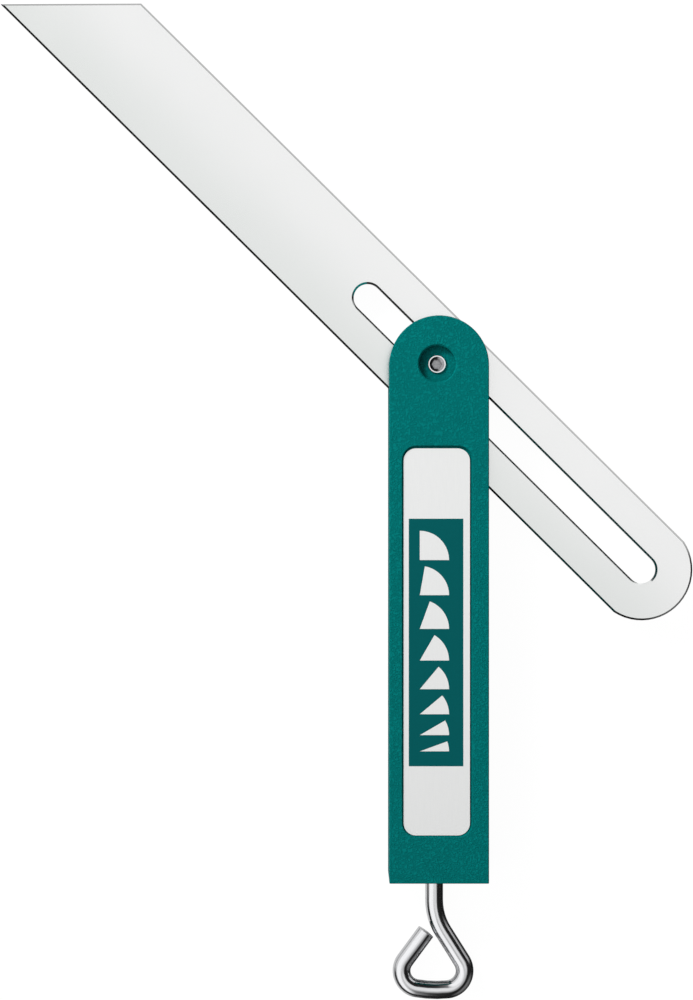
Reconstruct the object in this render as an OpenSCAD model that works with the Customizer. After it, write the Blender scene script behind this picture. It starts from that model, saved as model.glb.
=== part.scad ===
// Sliding bevel: a slotted steel blade in a cast handle, locked by turning the wire hook at the butt.
// The tool lies on its rear face. The origin is on the pivot axis at the rear face, +Y runs up the
// handle towards the pivot end, +X is to the right and +Z comes out of the front face.

/* [Handle] */
// Width of the handle, which is also the diameter of its round end
handle_w = 27.2; // [26:0.2:32]
// Thickness of the handle, rear face to front face
handle_t = 20; // [20:0.5:24]
// Distance from the pivot axis down to the flat butt
handle_drop = 141.9; // [140:0.1:150]
// Rounding of the outer edges
edge_r = 0.3; // [0.2:0.1:1]
// Sideways place of the casting's centre line, from the pivot axis
casting_x = 0.5; // [-1:0.1:1]
// Place of the round end's centre along the handle, from the pivot axis
casting_y = -0.4; // [-1:0.1:1]
// Diameter of the recess round the pivot screw
pivot_recess_d = 10; // [9:0.2:12]
// Depth of the recess round the pivot screw
pivot_recess_depth = 3; // [1:0.2:3.4]

/* [Labels] */
// Width of a label recess at the handle's face
recess_w = 19.4; // [16:0.2:21]
// Length of a label recess at the handle's face
recess_l = 107; // [80:1:108]
// Distance from the pivot axis down to the recess
recess_drop = 22.3; // [20:0.1:24]
// Corner radius of the recess
recess_r = 4; // [3:0.5:6]
// Depth of the front recess
front_recess_depth = 1.2; // [0.8:0.1:1.6]
// Depth of the rear recess
rear_recess_depth = 0.6; // [0.5:0.1:0.7]
// Thickness of a label plate
label_t = 0.5; // [0.3:0.1:0.5]

/* [Blade] */
// Overall length of the blade
blade_l = 250.6; // [200:0.2:300]
// Width of the blade
blade_w = 27.6; // [26:0.1:28]
// Thickness of the blade
blade_t = 1.5; // [1.2:0.1:1.7]
// Width of the slot in the blade
blade_slot_w = 7.7; // [7.4:0.1:9]
// Distance between the two end centres of the slot in the blade
blade_slot_run = 106.9; // [60:0.1:107.2]
// Radius of the blade's round end, which is a little more than half the blade's width
blade_end_r = 14.1; // [14:0.1:15]
// Angle between the blade and the handle, counted to the left
blade_angle = 45.25; // [20:0.25:160]
// Distance from the slot's end centre at the round end to the pivot
blade_shift = 80.2; // [10:0.2:100]
// Small bevel along all the blade's edges
blade_bevel = 0.55; // [0.1:0.05:0.6]

/* [Locking hook] */
// Diameter of the hook's wire and of its thread
wire_d = 5; // [4.8:0.1:5.2]
// Sideways place of the hook and the push rod, from the pivot axis
rod_x = -0.3; // [-1:0.1:1]
// Diameter of the push rod
rod_d = 4.5; // [4.2:0.1:4.6]
// Slope of the wedge at the push rod's tip, in degrees
wedge_angle = 20; // [15:1:22]
// Number of turns of the return spring
spring_turns = 9; // [5:1:10]

/* [Hidden] */
$fn = 64;
through = 1;
far = 400;
arc_steps = 4;

// Levels along Z, worked out from the blade's middle plane.
mid_z = handle_t / 2;
slot_t = 2;
slot_rear_z = mid_z - slot_t / 2;
blade_rear_z = mid_z - blade_t / 2;
blade_front_z = mid_z + blade_t / 2;
slot_drop = blade_slot_run + blade_end_r + 0.6;

// Label recesses.
recess_y = -recess_drop - recess_l / 2;
wall_slope = 0.45;

// Washers and clamp pad, in round pockets that open into the blade slot.
washer_t = 1;
washer_play = 0.02;
washer_d = 17.6;
pocket_d = 18;
front_pocket_z = blade_front_z + washer_play + washer_t;
pad_top_z = blade_rear_z - washer_play - washer_t;
pad_rear_z = mid_z - 4.6;
rear_pocket_z = pad_rear_z - 0.35;

// Pivot screw, a set screw with a hexagon socket in its front end.
screw_d = 5;
screw_bore_d = 5.1;
screw_rear_z = 1.7;
screw_end_room = 0.3;
screw_front_z = handle_t - 2.3;
socket_flats = 2.5;
socket_depth = 2.5;
socket_mouth_d = 4.1;
screw_chamfer = 0.15;
bush_play = 0.05;

// Push rod, ball, spring and hook screw on one axis along Y.
rod_z = mid_z - 5;
rod_tip_y = -3.8;
wedge_start_y = -9.2;
rod_end_y = -(handle_drop - 18.1);
flange_d = 6;
flange_l = 2;
chamber_d = 6.4;
chamber_top_y = rod_end_y + 19.5;
ball_d = 4.5;
cup_depth = 0.5;
hook_tip_y = rod_end_y - ball_d + cup_depth;
insert_d = 7;
insert_l = 10;
insert_bore_d = wire_d + 0.1;
spring_wire_d = 0.6;
spring_mean_d = 5.5;
joint_ball_d = wire_d + 0.04;

// The hook's wire below the butt, as [straight length, bend radius, bend angle] runs. A positive
// angle bends the wire to the right as it comes down, and a negative one bends it to the left.
HOOK_RUNS = [[7, 16.6, 32.3], [9.6, 5.3, -116.9], [0, 33, -15.1], [0, 5, -116.8], [9.8, 0, 0]];

// Points along an arc round [x, y].
function arc(x, y, r, from, to) =
    [for (i = [0:arc_steps]) let (a = from + (to - from) * i / arc_steps) [x + r * cos(a), y + r * sin(a)]];

// Outline of a rectangle round the origin with rounded corners.
function rounded_rect(w, h, r) = concat(
    arc(w / 2 - r, h / 2 - r, r, 0, 90), arc(r - w / 2, h / 2 - r, r, 90, 180),
    arc(r - w / 2, r - h / 2, r, 180, 270), arc(w / 2 - r, r - h / 2, r, 270, 360));

// Places its children on the push rod's axis with Z turned to run along Y.
module along_rod(y) {
    translate([rod_x, y, rod_z]) rotate([-90, 0, 0]) children();
}

// Moves its children into the blade's own frame: X towards the pointed end, Z from the mid plane.
module in_blade() {
    translate([0, 0, mid_z]) rotate([0, 0, 90 + blade_angle]) children();
}

// A pocket with sloping walls and round corners: it opens upwards and its floor is at z = 0.
module sloped_pocket(w, l, r, depth) {
    slope = wall_slope;
    for (x = [-1, 1], y = [-1, 1])
        translate([x * (w / 2 - r), y * (l / 2 - r), 0]) cylinder(h = depth, r1 = r - slope, r2 = r);
    translate([0, 0, depth]) rounded_plate(w, l, r, through);
    rotate([90, 0, 0]) linear_extrude(l - 2 * r, center = true) pocket_section(w, depth, slope);
    rotate([90, 0, 90]) linear_extrude(w - 2 * r, center = true) pocket_section(l, depth, slope);
}

module pocket_section(w, depth, slope) {
    polygon([[slope - w / 2, 0], [w / 2 - slope, 0], [w / 2, depth], [-w / 2, depth]]);
}

// A flat plate with round corners, its rear face at z = 0.
module rounded_plate(w, l, r, t) {
    for (x = [-1, 1], y = [-1, 1])
        translate([x * (w / 2 - r), y * (l / 2 - r), 0]) cylinder(h = t, r = r);
    translate([-w / 2, r - l / 2, 0]) cube([w, l - 2 * r, t]);
    translate([r - w / 2, -l / 2, 0]) cube([w - 2 * r, l, t]);
}

// Outer shape of the handle: a round pivot end on a straight bar with its edges rounded.
module handle_blank() {
    bar_l = handle_drop + casting_y;
    translate([casting_x, casting_y, 0]) intersection() {
        union() {
            rotate_extrude($fn = 96) polygon(concat([[0, 0]],
                arc(handle_w / 2 - edge_r, edge_r, edge_r, -90, 0),
                arc(handle_w / 2 - edge_r, handle_t - edge_r, edge_r, 0, 90), [[0, handle_t]]));
            translate([0, -bar_l, mid_z]) rotate([-90, 0, 0])
                linear_extrude(bar_l) polygon(rounded_rect(handle_w, handle_t, edge_r));
        }
        translate([-handle_w, far / 2 - bar_l, mid_z]) rotate([90, 0, 90])
            linear_extrude(2 * handle_w) polygon(rounded_rect(far, handle_t, edge_r));
        translate([0, far / 2 - bar_l, 0])
            linear_extrude(handle_t) polygon(rounded_rect(handle_w, far, edge_r));
    }
}

module label_recesses() {
    translate([0, recess_y, handle_t - front_recess_depth])
        sloped_pocket(recess_w, recess_l, recess_r, front_recess_depth);
    translate([0, recess_y, rear_recess_depth]) rotate([0, 180, 0])
        sloped_pocket(recess_w, recess_l, recess_r, rear_recess_depth);
}

// The recess, thread and pockets round the pivot axis.
module pivot_holes() {
    recess_floor_z = handle_t - pivot_recess_depth;
    mouth = 0.4;
    translate([0, 0, recess_floor_z]) cylinder(h = pivot_recess_depth + through, d = pivot_recess_d);
    translate([0, 0, handle_t - mouth])
        cylinder(h = mouth, d1 = pivot_recess_d, d2 = pivot_recess_d + 2 * mouth);
    translate([0, 0, screw_rear_z - screw_end_room]) cylinder(h = handle_t, d = screw_bore_d);
    translate([0, 0, rear_pocket_z]) cylinder(h = front_pocket_z - rear_pocket_z, d = pocket_d);
}

// The stepped hole along the handle for the push rod, spring and threaded insert.
module rod_hole() {
    rod_play = 0.2;
    along_rod(-handle_drop - through) cylinder(h = insert_l + through, d = insert_d);
    along_rod(-handle_drop) cylinder(h = handle_drop + chamber_top_y, d = chamber_d);
    along_rod(-handle_drop) cylinder(h = handle_drop + rod_tip_y + 0.4, d = rod_d + rod_play);
}

module handle() {
    color([0, 0.46, 0.43]) difference() {
        handle_blank();
        translate([-far / 2, -slot_drop, slot_rear_z]) cube([far, far, slot_t]);
        label_recesses();
        pivot_holes();
        rod_hole();
    }
}

// A label plate, smaller than the floor of its recess all round by the edge gap.
module label_plate() {
    edge_gap = 0.2;
    trim = 2 * (wall_slope + edge_gap);
    color([0.9, 0.91, 0.9])
        rounded_plate(recess_w - trim, recess_l - trim, recess_r - trim / 2, label_t);
}

// The front plate was stuck in slightly to the left and low.
module front_label() {
    off_centre = -0.15;
    translate([off_centre, recess_y + off_centre, handle_t - front_recess_depth]) label_plate();
}

module rear_label() {
    translate([0, recess_y, rear_recess_depth - label_t]) label_plate();
}

// Half of the section of a hole through the blade whose edges flare out to the blade's faces.
module flared_half(r) {
    straight = blade_t / 2 - blade_bevel;
    flare_r = r + blade_t - straight;
    polygon([[0, -blade_t], [flare_r, -blade_t], [r, -straight],
        [r, straight], [flare_r, blade_t], [0, blade_t]]);
}

module blade_slot() {
    slot_r = blade_slot_w / 2;
    for (x = [-blade_shift, blade_slot_run - blade_shift])
        translate([x, 0, 0]) rotate_extrude() flared_half(slot_r);
    translate([-blade_shift, 0, 0]) rotate([90, 0, 90]) linear_extrude(blade_slot_run) {
        flared_half(slot_r);
        mirror([1, 0, 0]) flared_half(slot_r);
    }
}

// Cuts the pointed end at 45 degrees and bevels the cut.
module blade_point_cut(tip_x) {
    straight = blade_t / 2 - blade_bevel;
    reach = 2 * blade_w;
    translate([tip_x, blade_w / 2, 0]) rotate([90, 0, -45])
        linear_extrude(far, center = true) polygon([[0, -straight], [0, straight],
            [straight - blade_t, blade_t], [reach, blade_t], [reach, -blade_t],
            [straight - blade_t, -blade_t]]);
}

// The blade's straight sides run a little past the centre of its round end, where they meet the arc.
module blade() {
    half_w = blade_w / 2;
    half_t = blade_t / 2;
    round_x = -blade_shift;
    tip_x = blade_l - blade_shift - blade_end_r;
    color([0.93, 0.94, 0.93]) in_blade() difference() {
        intersection() {
            union() {
                translate([round_x, 0, 0]) rotate_extrude($fn = 96) polygon([[0, -half_t],
                    [blade_end_r - blade_bevel, -half_t], [blade_end_r, blade_bevel - half_t],
                    [blade_end_r, half_t - blade_bevel], [blade_end_r - blade_bevel, half_t],
                    [0, half_t]]);
                translate([round_x, -blade_w, -blade_t]) cube([blade_l, 2 * blade_w, 2 * blade_t]);
            }
            translate([round_x - blade_w, 0, 0]) rotate([90, 0, 90])
                linear_extrude(tip_x - round_x + blade_w) polygon([[-half_w, blade_bevel - half_t],
                    [blade_bevel - half_w, -half_t], [half_w - blade_bevel, -half_t],
                    [half_w, blade_bevel - half_t], [half_w, half_t - blade_bevel],
                    [half_w - blade_bevel, half_t], [blade_bevel - half_w, half_t],
                    [-half_w, half_t - blade_bevel]]);
        }
        blade_slot();
        blade_point_cut(tip_x);
    }
}

// The bush turns on the pivot screw and slides in the blade's slot.
module pivot_bush() {
    bush_t = blade_t - 0.1;
    color([0.75, 0.66, 0.4]) translate([0, 0, mid_z - bush_t / 2]) difference() {
        cylinder(h = bush_t, d = blade_slot_w - 2 * bush_play);
        translate([0, 0, -through]) cylinder(h = bush_t + 2 * through, d = screw_d + 2 * bush_play);
    }
}

module washer(z) {
    washer_bore_d = 5.4;
    color([0.2, 0.19, 0.18]) translate([0, 0, z]) difference() {
        cylinder(h = washer_t, d = washer_d);
        translate([0, 0, -through]) cylinder(h = washer_t + 2 * through, d = washer_bore_d);
    }
}

module front_washer() {
    washer(blade_front_z + washer_play);
}

module rear_washer() {
    washer(pad_top_z);
}

// Everything behind the wedge plane, in which the push rod's slope bears on the clamp pad.
module behind_wedge(w) {
    translate([rod_x, wedge_start_y, rod_z + rod_d / 2]) rotate([-wedge_angle, 0, 0])
        translate([-w / 2, -far / 2, -far]) cube([w, far, far]);
}

// A round steel pad with a sloping groove over the push rod's wedge.
module clamp_pad() {
    pad_bore_d = 5.4;
    groove_w = rod_d + 0.8;
    color([0.5, 0.5, 0.52]) difference() {
        translate([0, 0, pad_rear_z]) cylinder(h = pad_top_z - pad_rear_z, d = washer_d);
        translate([0, 0, pad_rear_z - through]) cylinder(h = handle_t, d = pad_bore_d);
        behind_wedge(groove_w);
    }
}

module pivot_screw() {
    socket_mouth = 0.4;
    color([0.72, 0.72, 0.72]) difference() {
        union() {
            translate([0, 0, screw_rear_z])
                cylinder(h = screw_chamfer, d1 = screw_d - 2 * screw_chamfer, d2 = screw_d);
            translate([0, 0, screw_rear_z + screw_chamfer])
                cylinder(h = screw_front_z - screw_rear_z - 2 * screw_chamfer, d = screw_d);
            translate([0, 0, screw_front_z - screw_chamfer])
                cylinder(h = screw_chamfer, d1 = screw_d, d2 = screw_d - 2 * screw_chamfer);
        }
        translate([0, 0, screw_front_z - socket_depth])
            cylinder(h = socket_depth + through, d = socket_flats / cos(30), $fn = 6);
        translate([0, 0, screw_front_z - socket_mouth])
            cylinder(h = socket_mouth, d1 = socket_flats, d2 = socket_mouth_d);
    }
}

// The push rod: a wedge at the pivot end and a flange with a cup for the ball at the other.
module push_rod() {
    color([0.6, 0.6, 0.62]) difference() {
        intersection() {
            union() {
                along_rod(rod_end_y) cylinder(h = rod_tip_y - rod_end_y, d = rod_d);
                along_rod(rod_end_y) cylinder(h = flange_l, d = flange_d);
            }
            behind_wedge(flange_d + 2 * through);
        }
        along_rod(rod_end_y - ball_d / 2 + cup_depth) sphere(d = ball_d + 0.1);
    }
}

module thrust_ball() {
    color([0.85, 0.85, 0.87]) along_rod(rod_end_y - ball_d / 2 + cup_depth) sphere(d = ball_d);
}

// A compression spring between the hole's shoulder and the push rod's flange.
module return_spring() {
    ring_sides = 6;
    turn_steps = 12;
    rings = spring_turns * turn_steps;
    wire_r = spring_wire_d / 2;
    bottom_y = rod_end_y + flange_l;
    length = chamber_top_y - bottom_y - spring_wire_d;
    points = [for (i = [0:rings], s = [0:ring_sides - 1])
        let (turn = 360 * i / turn_steps, a = 360 * s / ring_sides,
            r = spring_mean_d / 2 + wire_r * cos(a))
        [r * cos(turn), r * sin(turn), wire_r + length * i / rings + wire_r * sin(a)]];
    sides = [for (i = [0:rings - 1], s = [0:ring_sides - 1])
        let (a = i * ring_sides + s, b = i * ring_sides + (s + 1) % ring_sides)
        [a, a + ring_sides, b + ring_sides, b]];
    first = [for (s = [0:ring_sides - 1]) s];
    last = [for (s = [0:ring_sides - 1]) (rings + 1) * ring_sides - 1 - s];
    color([0.7, 0.7, 0.72]) along_rod(bottom_y)
        polyhedron(points = points, faces = concat([first], sides, [last]), convexity = 10);
}

// One straight length and one bend of the hook's wire, then the rest of its runs from there on.
// A ball just thicker than the wire joins each piece to the next, across a hairline gap.
module wire_runs(runs, i = 0) {
    gap = 0.02;
    gap_angle = 0.2;
    if (i < len(runs)) {
        straight = runs[i][0];
        r = runs[i][1];
        angle = runs[i][2];
        side = sign(angle);
        if (i > 0) rotate([0, 90, 0]) sphere(d = joint_ball_d);
        if (straight > 0) translate([gap, 0, 0]) rotate([0, 90, 0])
            cylinder(h = straight - gap, d = wire_d);
        translate([straight, 0, 0]) {
            if (r > 0 && straight > 0) rotate([0, 90, 0]) sphere(d = joint_ball_d);
            if (r > 0) translate([0, side * r, 0])
                rotate([0, 0, side > 0 ? gap_angle - 90 : 90 + angle])
                    rotate_extrude(angle = abs(angle) - gap_angle)
                        translate([r, 0]) circle(d = wire_d);
            translate([r * sin(abs(angle)), side * r * (1 - cos(angle)), 0]) rotate([0, 0, angle])
                wire_runs(runs, i + 1);
        }
    }
}

// The hook screw: a thread inside the handle that ends in a bent wire hook outside it.
module hook_screw() {
    tip_chamfer = 0.5;
    color([0.78, 0.78, 0.78]) union() {
        along_rod(-handle_drop - through)
            cylinder(h = handle_drop + through + hook_tip_y - tip_chamfer, d = wire_d);
        along_rod(hook_tip_y - tip_chamfer)
            cylinder(h = tip_chamfer, d1 = wire_d, d2 = wire_d - 2 * tip_chamfer);
        translate([rod_x, -handle_drop, rod_z]) rotate([0, 0, -90]) wire_runs(HOOK_RUNS);
    }
}

module threaded_insert() {
    color([0.8, 0.65, 0.3]) difference() {
        along_rod(-handle_drop) cylinder(h = insert_l, d = insert_d);
        along_rod(-handle_drop - through) cylinder(h = insert_l + 2 * through, d = insert_bore_d);
    }
}

handle();
front_label();
rear_label();
blade();
pivot_bush();
front_washer();
rear_washer();
clamp_pad();
pivot_screw();
push_rod();
thrust_ball();
return_spring();
hook_screw();
threaded_insert();
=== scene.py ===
import math

import bpy
from mathutils import Matrix, Vector


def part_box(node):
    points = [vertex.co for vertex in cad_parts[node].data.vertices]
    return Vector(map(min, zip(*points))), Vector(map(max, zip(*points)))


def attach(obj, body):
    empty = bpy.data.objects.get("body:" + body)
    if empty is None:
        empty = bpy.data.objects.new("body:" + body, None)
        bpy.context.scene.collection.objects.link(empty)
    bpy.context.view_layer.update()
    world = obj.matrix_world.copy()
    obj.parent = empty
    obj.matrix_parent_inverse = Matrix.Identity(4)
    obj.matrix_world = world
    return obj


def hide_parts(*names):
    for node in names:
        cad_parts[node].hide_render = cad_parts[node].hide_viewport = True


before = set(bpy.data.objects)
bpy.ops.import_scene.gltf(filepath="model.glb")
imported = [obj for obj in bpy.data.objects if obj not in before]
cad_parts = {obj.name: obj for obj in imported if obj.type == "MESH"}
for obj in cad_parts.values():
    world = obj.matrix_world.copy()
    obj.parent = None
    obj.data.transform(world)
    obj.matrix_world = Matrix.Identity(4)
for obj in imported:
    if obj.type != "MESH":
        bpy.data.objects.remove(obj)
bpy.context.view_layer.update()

MM = 0.001

# ---- Camera ----------------------------------------------------------------------------------
# The tool lies on its back and is seen from straight above, from a little to the left of the
# handle and beside its middle.

handle_low, handle_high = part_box("handle")
camera_left = 24.8 * MM
camera_below_pivot = 37.2 * MM
camera_above_handle = 600 * MM

camera_data = bpy.data.cameras.new("camera")
camera_data.sensor_width = 36
camera_data.lens = 79.2
camera_data.clip_start = 0.01
camera_data.clip_end = 20
camera = bpy.data.objects.new("camera", camera_data)
camera.location = (-camera_left, -camera_below_pivot, handle_high.z + camera_above_handle)
bpy.context.scene.collection.objects.link(camera)
bpy.context.scene.camera = camera
bpy.context.scene.view_settings.view_transform = "Standard"


# ---- Studio ----------------------------------------------------------------------------------
# A glossy white table under a white soft box, with a tent of white cloth on the left and a lamp at
# the upper left. The wall at the back is pale, and the room at the front and right is black but for
# a grey card in its corner. Between them they give the bright metal its light and dark edges.

class Number:
    """A number that a shader works out. Python's operators on it add Math nodes."""

    def __init__(self, tree, socket):
        self.tree = tree
        self.socket = socket

    def maths(self, operation, *others):
        """This number and the others in a Math node."""
        node = self.tree.node("Math", {"operation": operation}, self, *others)
        return Number(self.tree, node.outputs[0])

    def __add__(self, other):
        return self.maths("ADD", other)

    def __mul__(self, other):
        return self.maths("MULTIPLY", other)

    def __sub__(self, other):
        return self.maths("SUBTRACT", other)

    def __rsub__(self, other):
        return self.maths("MULTIPLY", -1).maths("ADD", other)

    def __pow__(self, other):
        return self.maths("POWER", other)

    __radd__ = __add__
    __rmul__ = __mul__

    def step(self, low, high):
        """0 below low, 1 above high, and a smooth rise between them. high may be the lower one."""
        node = self.tree.node("MapRange", {"interpolation_type": "SMOOTHSTEP"}, self, low, high, 0, 1)
        return Number(self.tree, node.outputs[0])


class Tree:
    """A node tree that is filled by naming each node's type, settings and inputs."""

    def __init__(self, tree):
        self.tree = tree
        tree.nodes.clear()

    def node(self, kind, settings=None, *values, **inputs):
        """A new node. The values go into its first sockets, and the inputs into those they name."""
        node = self.tree.nodes.new("ShaderNode" + kind)
        for name, value in (settings or {}).items():
            setattr(node, name, value)
        for socket, value in zip(node.inputs, values):
            self.plug(socket, value)
        for name, value in inputs.items():
            self.plug(node.inputs[name.replace("_", " ")], value)
        return node

    def plug(self, socket, value):
        """Puts a plain value into a socket, or links another node or one of its sockets to it."""
        if isinstance(value, Number):
            value = value.socket
        if isinstance(value, bpy.types.Node):
            value = value.outputs[0]
        if isinstance(value, bpy.types.NodeSocket):
            self.tree.links.new(value, socket)
        else:
            socket.default_value = value

    def axes(self, place):
        """The x, y and z of a place or a direction, as numbers."""
        return [Number(self, socket) for socket in self.node("SeparateXYZ", None, place).outputs]


world = bpy.data.worlds.new("studio")
bpy.context.scene.world = world
world.use_nodes = True
sky = Tree(world.node_tree)
# Each of these three runs from -1 to 1 as the direction in which the sky is seen turns that way.
# Each light after them is its brightness times the steps that bound it.
right, ahead, up = sky.axes(sky.node("TexCoord").outputs["Generated"])
soft_box = (0.42 + 0.5 * ahead.step(-0.3, -0.13)) * up.step(0.8, 0.93)
left_tent = 1.15 * (right * -1).step(-0.05, 0.35) * up.step(0.2, 0.45)
back_wall = 0.85 * (ahead - right * 0.2).step(-0.15, 0.35) * up.step(0.32, 0.22)
corner_card = 0.18 * (right - ahead).step(1.15, 1.4) * up.step(0.6, 0.45)
dark_room = 0.015
light = soft_box.maths("MAXIMUM", left_tent).maths("MAXIMUM", back_wall) + corner_card + dark_room
studio_light = sky.node("Background", Color=(1, 1, 1, 1), Strength=light)
white_backdrop = sky.node("Background", Color=(1, 1, 1, 1), Strength=1)
to_camera = sky.node("LightPath").outputs["Is Camera Ray"]
sky.node("OutputWorld", Surface=sky.node("MixShader", None, to_camera, studio_light, white_backdrop))

table_size = 6
table_gap = 0.1 * MM
bpy.ops.mesh.primitive_plane_add(size=table_size, location=(0, 0, handle_low.z - table_gap))
table = bpy.context.object
table.name = "table"
table_finish = bpy.data.materials.new("table_top")
table_finish.use_nodes = True
table.data.materials.append(table_finish)
top = Tree(table_finish.node_tree)
glow = top.node("Emission", Color=(1, 1, 1, 1), Strength=0.97)
sheen = top.node("BsdfDiffuse", Color=(0.06, 0.06, 0.06, 1))
gloss = top.node("BsdfGlossy", Color=(0.6, 0.6, 0.6, 1), Roughness=0.1)
bright = top.node("AddShader", None, glow, sheen)
to_camera = top.node("LightPath").outputs["Is Camera Ray"]
top.node("OutputMaterial", Surface=top.node("MixShader", None, to_camera, gloss, bright))

key_place = Vector((-0.28, 0.27, 0.35))
key_target = Vector((0, -0.06, 0))
key_light = bpy.data.lights.new("key_light", "AREA")
key_light.size = 0.16
key_light.energy = 2.2
key = bpy.data.objects.new("key_light", key_light)
key.location = key_place
key.rotation_euler = (key_target - key_place).to_track_quat("-Z", "Y").to_euler()
key.visible_glossy = False
bpy.context.scene.collection.objects.link(key)


# ---- Handle ----------------------------------------------------------------------------------
# One aluminium casting, powder-coated teal with a fine sand texture.

class Finish(Tree):
    """A material for CAD nodes and new pieces, built round one Principled shader."""

    def __init__(self, name, **settings):
        self.material = bpy.data.materials.new(name)
        self.material.use_nodes = True
        super().__init__(self.material.node_tree)
        self.place = self.node("TexCoord").outputs["Object"]
        self.shader = self.node("BsdfPrincipled", **settings)
        self.node("OutputMaterial", Surface=self.shader)

    def noise(self, size, stretch=(1, 1, 1), detail=2.0, roughness=0.5, turn=0.0, place=None):
        """Noise with grains of that size in metres, made longer along an axis by stretch."""
        grid = self.node("Mapping", {"vector_type": "TEXTURE"}, Vector=place or self.place,
                         Rotation=(0, 0, turn), Scale=[size * s for s in stretch])
        grains = self.node("TexNoise", Vector=grid, Scale=1.0, Detail=detail, Roughness=roughness)
        return Number(self, grains.outputs["Fac"])

    def colour(self, mask, first, second):
        """A colour that goes from the first to the second as the mask goes from 0 to 1."""
        node = self.node("Mix", {"data_type": "RGBA"})
        for number, value in ((0, mask), (6, first), (7, second)):
            self.plug(node.inputs[number], value)
        return node.outputs[2]

    def bumps(self, height, depth):
        """A normal from a height between 0 and 1, where 1 is that deep in metres."""
        return self.node("Bump", Height=height, Strength=1.0, Distance=depth).outputs["Normal"]

    def set(self, **inputs):
        """Plugs values and other nodes' results into the Principled shader."""
        for name, value in inputs.items():
            self.plug(self.shader.inputs[name.replace("_", " ")], value)

    def on(self, *pieces):
        """Makes this the only material of each piece."""
        for piece in pieces:
            piece.data.materials.clear()
            piece.data.materials.append(self.material)


teal = (0.0, 0.19, 0.182, 1)
deep_teal = (0.0, 0.134, 0.13, 1)

paint = Finish("teal_powder_coat", Specular_IOR_Level=0.04)
wrinkle = paint.noise(0.85 * MM, detail=3, roughness=0.6)
folds = (wrinkle - 0.5).maths("ABSOLUTE").step(0, 0.12)
patches = paint.noise(9 * MM)
# The colour goes to deep_teal where the wrinkles fold down: painted shade in the creases. The large
# patches add random tone.
paint.set(
    Base_Color=paint.colour(folds * 0.6 + patches * 0.4, deep_teal, teal),
    Roughness=0.6 - folds * 0.1,
    Normal=paint.bumps(folds, 0.1 * MM),
)
paint.on(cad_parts["handle"])


# ---- Blade -----------------------------------------------------------------------------------
# Satin stainless steel, ground along its length, with small polished bevels on every edge. It points
# to the upper left, and painted shade makes its lower left side a little greyer than its upper right
# side.

blade_turn = math.radians(135)
blade_low, blade_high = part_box("blade")
blade_middle = (blade_low.z + blade_high.z) / 2
half_thickness = (blade_high.z - blade_low.z) / 2

steel = Finish("satin_blade_steel", Metallic=1.0)
grinding = steel.noise(0.1 * MM, stretch=(80, 1, 1), detail=3, turn=blade_turn)
x, y, z = steel.axes(steel.place)
across = (x + y) * math.sqrt(0.5)
# Painted shade: the colour greys towards the blade's lower left side, with a little random tone from
# the large noise.
painted_side_shade_and_tone = across.step(-16 * MM, 10 * MM) * 0.7 + steel.noise(30 * MM) * 0.3
from_middle = (z - blade_middle).maths("ABSOLUTE")
on_face = from_middle.step(half_thickness - 0.03 * MM, half_thickness - 0.01 * MM)
steel.set(
    Base_Color=steel.colour(painted_side_shade_and_tone, (0.79, 0.815, 0.8, 1), (0.965, 0.965, 0.965, 1)),
    Roughness=(grinding * 0.04 + 0.12) * on_face + 0.08,
    Normal=steel.bumps(grinding, 0.0004 * MM),
)
steel.on(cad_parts["blade"])


# ---- Labels ----------------------------------------------------------------------------------
# Two thin aluminium plates, stuck into the recesses of the handle.

plate = Finish("label_aluminium", Metallic=0.7)
satin = plate.noise(0.2 * MM, stretch=(1, 20, 1))
plate.set(
    Base_Color=plate.colour(satin, (0.87, 0.88, 0.875, 1), (0.93, 0.935, 0.93, 1)),
    Roughness=satin * 0.06 + 0.3,
    Normal=plate.bumps(satin, 0.0008 * MM),
)
plate.on(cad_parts["front_label"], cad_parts["rear_label"])

# The print: a teal panel in which a column of filled angles, from a right angle down to a narrow
# one, leaves the plate bare.
plate_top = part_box("front_label")[1].z
panel_size = (14.9 * MM, 67.6 * MM, 0.05 * MM)
panel_middle = (-0.35 * MM, -76.1 * MM, plate_top + 0.015 * MM)
wedge_reach = 8 * MM
wedge_depth = 1 * MM
circle_sides = 72
wedge_gap = 1.7 * MM
wedge_left = -4.8 * MM
wedge_top = -45.6 * MM
wedge_angles = (90, 80, 70, 60, 50, 40, 30, 20)

bpy.ops.object.select_all(action="DESELECT")
bpy.ops.mesh.primitive_cube_add(size=1, location=panel_middle, scale=panel_size)
print_panel = bpy.context.object
print_panel.name = "label_print"
bpy.ops.object.transform_apply()

wedges = []
for angle in wedge_angles:
    wedge_height = wedge_reach * math.sin(math.radians(angle))
    corner = Vector((wedge_left, wedge_top - wedge_height, plate_top))
    wedge_top = corner.y - wedge_gap
    bpy.ops.object.select_all(action="DESELECT")
    bpy.ops.mesh.primitive_cylinder_add(vertices=circle_sides, radius=wedge_reach, depth=wedge_depth,
                                        location=corner)
    bpy.ops.object.transform_apply()
    wedges.append(bpy.context.object)
    bpy.ops.object.mode_set(mode="EDIT")
    bpy.ops.mesh.bisect(plane_co=corner, plane_no=(0, -1, 0), use_fill=True, clear_outer=True)
    bpy.ops.mesh.select_all(action="SELECT")
    slope = math.radians(angle + 90)
    bpy.ops.mesh.bisect(plane_co=corner, plane_no=(math.cos(slope), math.sin(slope), 0),
                        use_fill=True, clear_outer=True)
    bpy.ops.object.mode_set(mode="OBJECT")

bpy.ops.object.select_all(action="DESELECT")
for wedge in wedges:
    wedge.select_set(True)
bpy.context.view_layer.objects.active = wedges[0]
bpy.ops.object.join()
cutter = bpy.context.object
bpy.ops.object.select_all(action="DESELECT")
bpy.context.view_layer.objects.active = print_panel
print_panel.select_set(True)
cut = print_panel.modifiers.new("cut", "BOOLEAN")
cut.object = cutter
bpy.ops.object.modifier_apply(modifier="cut")
bpy.data.objects.remove(cutter)

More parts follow.
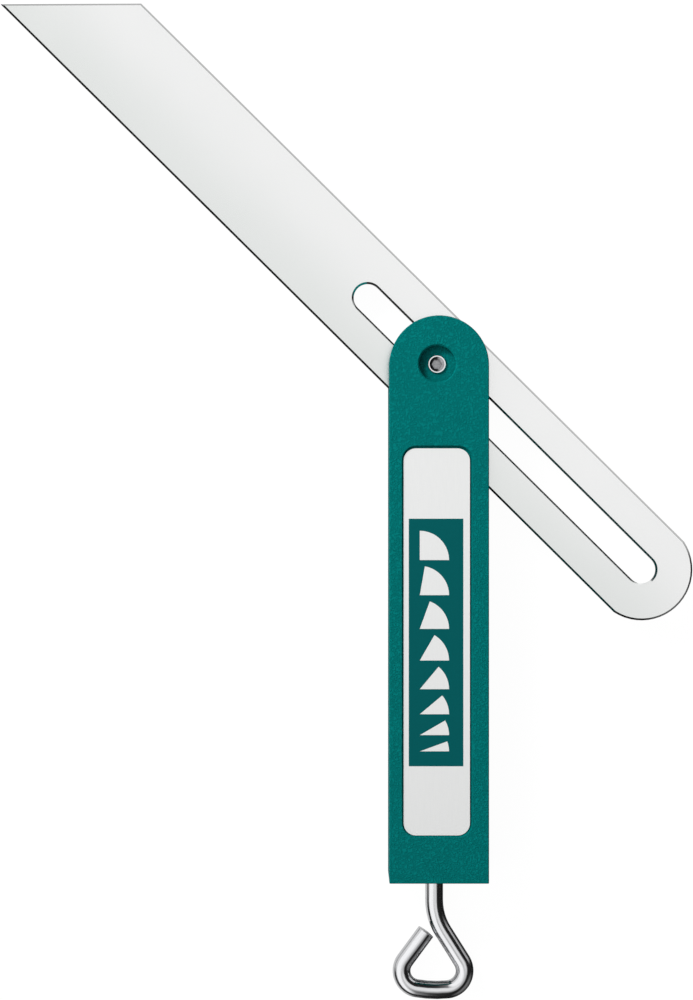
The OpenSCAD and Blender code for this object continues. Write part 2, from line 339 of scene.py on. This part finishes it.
ink = Finish("teal_print", Specular_IOR_Level=0.05)
mottle = ink.noise(0.4 * MM, detail=3)
ink.set(
    Base_Color=ink.colour(mottle, (0.0, 0.088, 0.092, 1), (0.0, 0.1, 0.105, 1)),
    Roughness=mottle * 0.1 + 0.4,
    Normal=ink.bumps(mottle, 0.002 * MM),
)
ink.on(print_panel)
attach(print_panel, "handle_body")


# ---- Hook ------------------------------------------------------------------------------------
# The hook screw is one length of drawn 5 mm steel wire, bright zinc-plated. Its straight end is
# screwed into the butt, and the rest is bent round into a nearly closed loop.

hook_low, hook_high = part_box("hook_screw")
wire_r = 2.5 * MM
wire_sides = 40
wire_x = -0.3 * MM
wire_z = (hook_low.z + hook_high.z) / 2
tip_chamfer = 0.5 * MM
bend_step = math.radians(5)
# Straight length, bend radius and bend angle of each run, from the butt on.
hook_runs = ((7 * MM, 16.6 * MM, 32.3), (9.6 * MM, 5.3 * MM, -116.9), (0, 33 * MM, -15.1),
             (0, 5 * MM, -116.8), (9.8 * MM, 0, 0))

bpy.ops.object.select_all(action="DESELECT")
bpy.ops.mesh.primitive_circle_add(vertices=wire_sides, radius=wire_r - tip_chamfer, fill_type="NGON",
                                  location=(wire_x, hook_high.y, wire_z), rotation=(math.pi / 2, 0, 0))
hook = bpy.context.object
hook.name = "wire_hook"
bpy.ops.object.transform_apply()
bpy.ops.object.mode_set(mode="EDIT")
bpy.ops.mesh.select_all(action="SELECT")
bpy.ops.mesh.extrude_region_move(TRANSFORM_OT_translate={"value": (0, -tip_chamfer, 0)})
bpy.ops.transform.resize(value=[wire_r / (wire_r - tip_chamfer)] * 3)
tip = Vector((wire_x, hook_high.y, wire_z))
end = Vector((wire_x, handle_low.y, wire_z))
bpy.ops.mesh.extrude_region_move(
    TRANSFORM_OT_translate={"value": (0, end.y - tip.y + tip_chamfer, 0)})
# The wire's middle line, as places with the way that the wire heads there and its length up to there.
forward = Vector((0, -1, 0))
length = tip.y - end.y
stations = [(tip, forward, 0), (end, forward, length)]
for straight, radius, degrees in hook_runs:
    if straight:
        bpy.ops.mesh.extrude_region_move(TRANSFORM_OT_translate={"value": forward * straight})
        end = end + forward * straight
        length += straight
        stations.append((end, forward, length))
    if radius:
        angle = math.radians(degrees)
        steps = round(abs(angle) / bend_step)
        arm = Vector((forward.y, -forward.x, 0)) * math.copysign(radius, degrees)
        centre = end - arm
        # A spin turns clockwise round an axis that points up, so this one points down.
        bpy.ops.mesh.spin(steps=steps, angle=angle, center=centre, axis=(0, 0, -1))
        for step in range(1, steps + 1):
            share = step / steps
            turn = Matrix.Rotation(angle * share, 3, "Z")
            stations.append((centre + turn @ arm, turn @ forward, length + radius * abs(angle) * share))
        end, forward, length = stations[-1]
bpy.ops.mesh.select_all(action="SELECT")
bpy.ops.mesh.remove_doubles(threshold=0.001 * MM)
bpy.ops.mesh.normals_make_consistent(inside=False)
bpy.ops.object.mode_set(mode="OBJECT")
bpy.ops.object.shade_smooth_by_angle(angle=math.radians(30))

# Where each point of the wire is across the wire and along it, so that the drawing marks follow it.
unrolled = hook.data.attributes.new("unrolled", "FLOAT_VECTOR", "POINT")
for vertex, value in zip(hook.data.vertices, unrolled.data):
    middle, forward, along = min(stations, key=lambda s: (s[0] - vertex.co).length_squared)
    offset = vertex.co - middle
    value.vector = (offset.dot(Vector((-forward.y, forward.x, 0))), offset.z, along)

zinc = Finish("bright_zinc", Metallic=1.0)
wire_place = zinc.node("Attribute", {"attribute_name": "unrolled"}).outputs["Vector"]
drawn = zinc.noise(0.35 * MM, stretch=(1, 1, 25), detail=3, place=wire_place)
zinc.set(
    Base_Color=zinc.colour(drawn, (0.66, 0.67, 0.69, 1), (0.86, 0.86, 0.87, 1)),
    Roughness=drawn * 0.1 + 0.08,
    Normal=zinc.bumps(drawn, 0.02 * MM),
)
zinc.on(hook)
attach(hook, "hook_body")
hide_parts("hook_screw")


# ---- Pivot screw -----------------------------------------------------------------------------
# A bright M5 set screw. Inside its chamfered mouth its hexagon socket is darkened by painted shade.

screw = Finish("screw_zinc", Metallic=1.0)
x, y, _ = screw.axes(screw.place)
from_axis = (x ** 2 + y ** 2) ** 0.5
socket = from_axis.step(2.1 * MM, 1.95 * MM)
scuffs = screw.noise(0.5 * MM, detail=3)
# Painted shade: the colour darkens inside the hexagon socket, mottled by the scuff noise.
painted_socket_shade = socket * (scuffs * 0.5 + 0.6)
screw.set(
    Base_Color=screw.colour(painted_socket_shade, (0.85, 0.85, 0.86, 1), (0.2, 0.2, 0.21, 1)),
    Roughness=scuffs * 0.15 + 0.15,
    Normal=screw.bumps(scuffs, 0.01 * MM),
)
screw.on(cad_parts["pivot_screw"])


# ---- Hidden works ----------------------------------------------------------------------------
# What the handle holds: a brass bush and insert, two pressed fibre washers, and the clamp's plain
# turned steel parts.

brass = Finish("turned_brass", Metallic=1.0)
turning = brass.noise(0.15 * MM)
brass.set(
    Base_Color=brass.colour(turning, (0.6, 0.42, 0.16, 1), (0.72, 0.53, 0.22, 1)),
    Roughness=turning * 0.15 + 0.25,
)
brass.on(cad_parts["pivot_bush"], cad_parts["threaded_insert"])

fibre = Finish("pressed_fibre", Roughness=0.85)
strands = fibre.noise(0.2 * MM, detail=4)
fibre.set(
    Base_Color=fibre.colour(strands, (0.03, 0.025, 0.02, 1), (0.08, 0.07, 0.055, 1)),
    Normal=fibre.bumps(strands, 0.03 * MM),
)
fibre.on(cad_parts["front_washer"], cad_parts["rear_washer"])

turned = Finish("turned_steel", Metallic=1.0)
marks = turned.noise(0.1 * MM)
turned.set(
    Base_Color=turned.colour(marks, (0.42, 0.42, 0.43, 1), (0.56, 0.56, 0.57, 1)),
    Roughness=marks * 0.2 + 0.25,
)
turned.on(*[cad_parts[name] for name in ("clamp_pad", "push_rod", "thrust_ball", "return_spring")])
